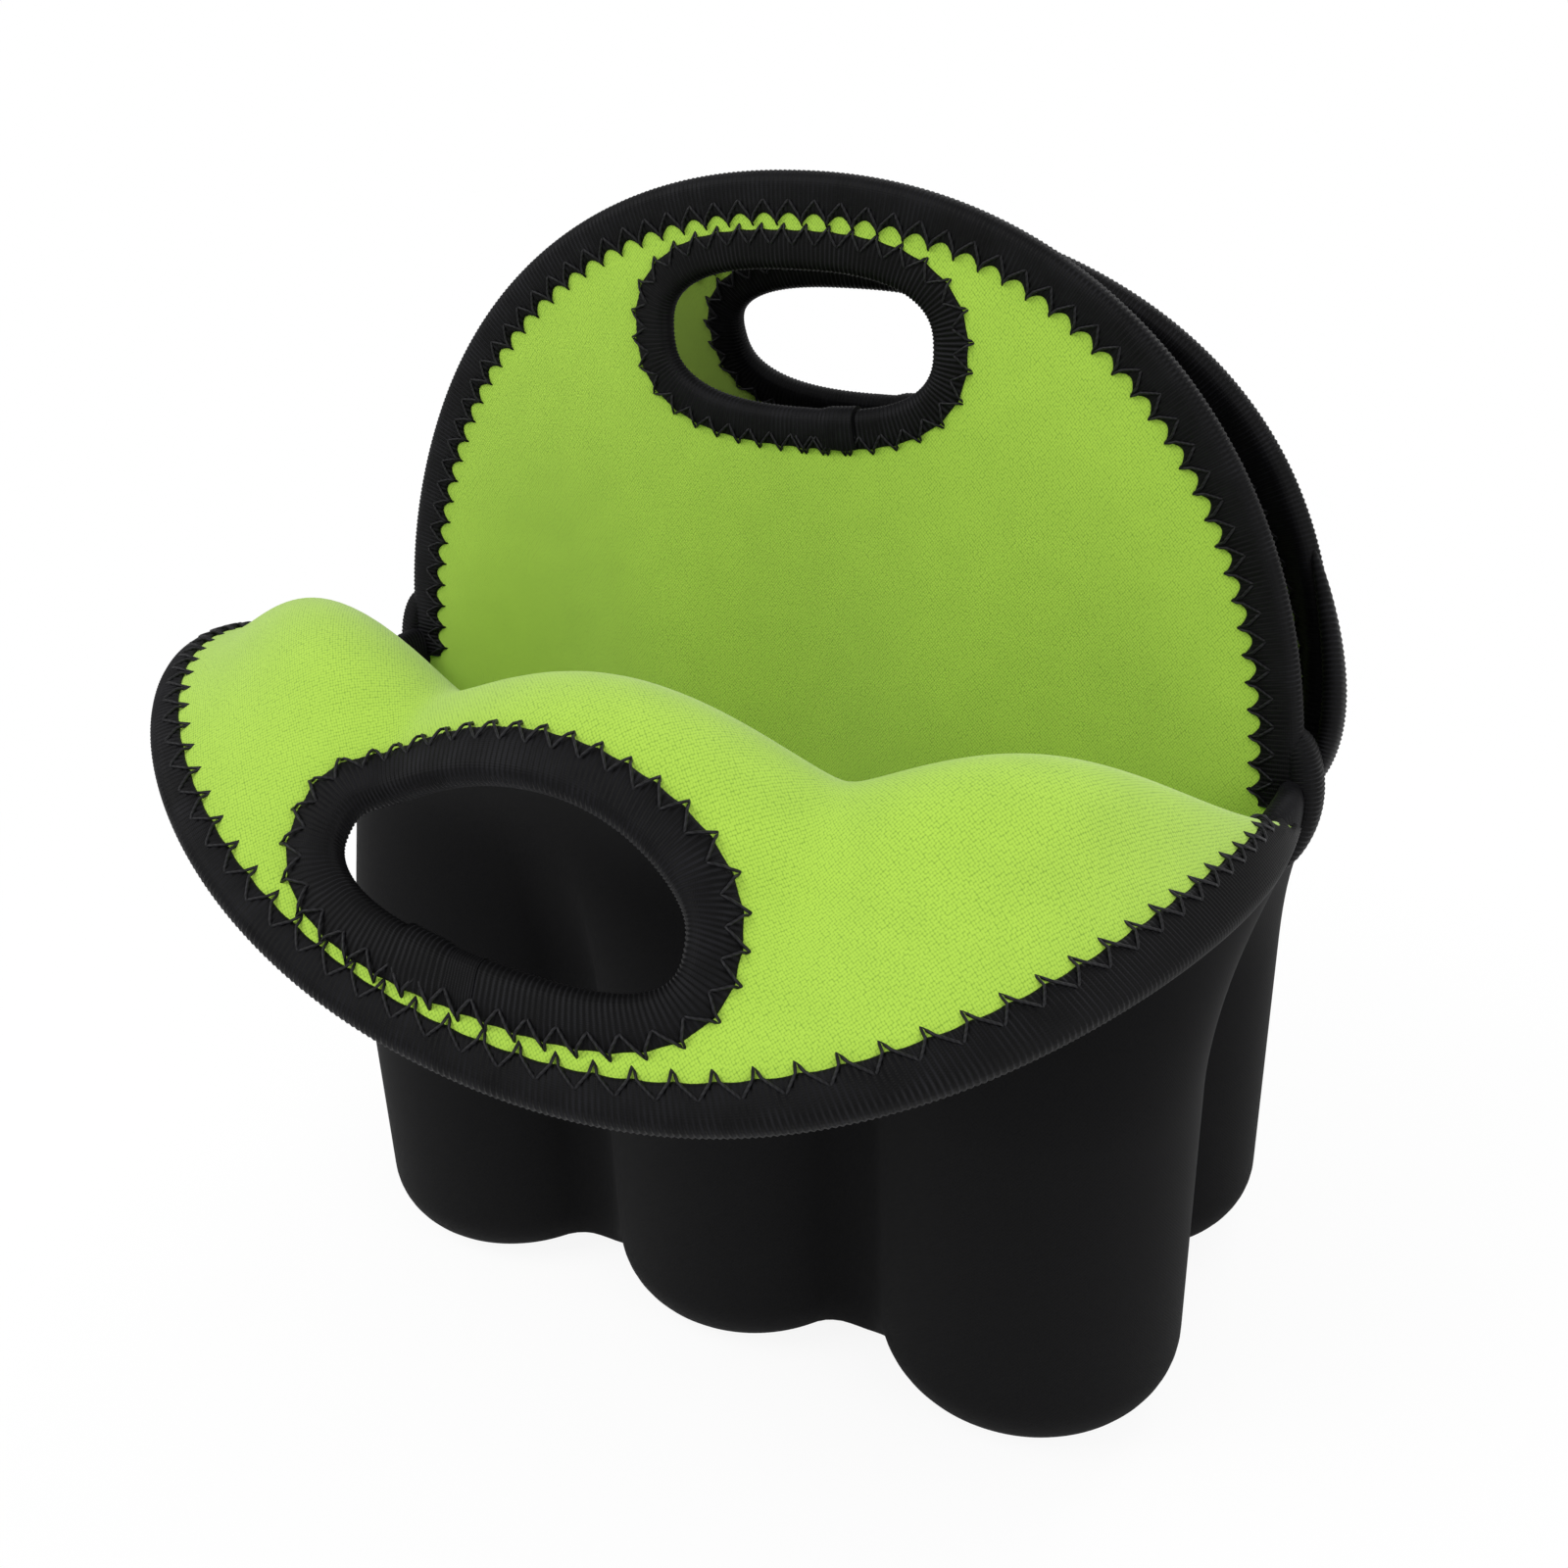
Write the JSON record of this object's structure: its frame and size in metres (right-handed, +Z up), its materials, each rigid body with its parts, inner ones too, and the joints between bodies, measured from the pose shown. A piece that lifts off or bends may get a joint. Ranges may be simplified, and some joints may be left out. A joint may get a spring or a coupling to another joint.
{
  "type": "six pack carrier",
  "caption": "Soft neoprene bottle carrier: two rows of rounded pockets either side of a centre panel, with three domed panels above that fold and have taped hand holes.",
  "frame": {"origin": "on the floor, in the middle of the centre panel's foot, between the two rows of pockets", "axes": "+Z up; X along a row of pockets, +X to the right as seen from the front; -Y to the front, the side whose panel is folded forward"},
  "size_m": [0.2386, 0.2339, 0.2682],
  "materials": {
    "black_knit_neoprene": "matt black jersey knit bonded to foam rubber",
    "green_knit_lining": "matt lime-green jersey knit",
    "black_binding_tape": "black ribbed binding tape with zigzag stitching"
  },
  "bodies": {
    "carrier": {"front_left_pocket_wall": "black_knit_neoprene", "front_left_pocket_lining": "green_knit_lining", "front_middle_pocket_wall": "black_knit_neoprene", "front_middle_pocket_lining": "green_knit_lining", "front_right_pocket_wall": "black_knit_neoprene", "front_right_pocket_lining": "green_knit_lining", "front_left_channel_seam": "black_knit_neoprene", "front_right_channel_seam": "black_knit_neoprene", "back_left_pocket_wall": "black_knit_neoprene", "back_left_pocket_lining": "green_knit_lining", "back_middle_pocket_wall": "black_knit_neoprene", "back_middle_pocket_lining": "green_knit_lining", "back_right_pocket_wall": "black_knit_neoprene", "back_right_pocket_lining": "green_knit_lining", "back_left_channel_seam": "black_knit_neoprene", "back_right_channel_seam": "black_knit_neoprene", "divider_panel": "black_knit_neoprene", "divider_lining": "green_knit_lining", "left_side_seam": "black_knit_neoprene", "right_side_seam": "black_knit_neoprene", "front_rim_fold": "black_knit_neoprene", "front_crest_fold": "black_knit_neoprene", "front_binding_ends": "black_binding_tape", "centre_fold": "black_knit_neoprene", "back_collar_panel": "black_knit_neoprene", "back_collar_lining": "green_knit_lining", "back_crest_fold": "black_knit_neoprene", "back_binding_ends": "black_binding_tape"},
    "front_collar": {"front_collar_panel": "black_knit_neoprene", "front_collar_lining": "green_knit_lining"},
    "front_flap": {"front_flap_panel": "black_knit_neoprene", "front_flap_lining": "green_knit_lining", "front_edge_binding": "black_binding_tape", "front_handle_binding": "black_binding_tape"},
    "centre_dome": {"centre_dome_panel": "black_knit_neoprene", "centre_dome_lining": "green_knit_lining", "centre_edge_binding": "black_binding_tape", "centre_handle_binding": "black_binding_tape"},
    "back_flap": {"back_flap_panel": "black_knit_neoprene", "back_flap_lining": "green_knit_lining", "back_edge_binding": "black_binding_tape", "back_handle_binding": "black_binding_tape"}
  },
  "joints": [
    {"name": "front_collar_fold", "type": "hinge", "parent": "carrier", "child": "front_collar", "pos_m": [0, -0.067, 0.147], "axis": [-1, 0, 0], "range_deg": [-10, 64], "deforming": ["front_rim_fold", "front_binding_ends"]},
    {"name": "front_flap_fold", "type": "hinge", "parent": "front_collar", "child": "front_flap", "pos_m": [0, -0.0984, 0.186], "axis": [-0.9905, -0.1377, 0], "range_deg": [-12, 69], "deforming": ["front_crest_fold", "front_binding_ends"]},
    {"name": "centre_dome_lean", "type": "hinge", "parent": "carrier", "child": "centre_dome", "pos_m": [0, 0, 0.143], "axis": [-1, 0, 0], "range_deg": [-8, 5], "deforming": ["centre_fold"]},
    {"name": "back_flap_fold", "type": "hinge", "parent": "carrier", "child": "back_flap", "pos_m": [0, 0.0466, 0.184], "axis": [-1, 0, 0], "range_deg": [0, 110], "deforming": ["back_crest_fold", "back_binding_ends"]}
  ]
}
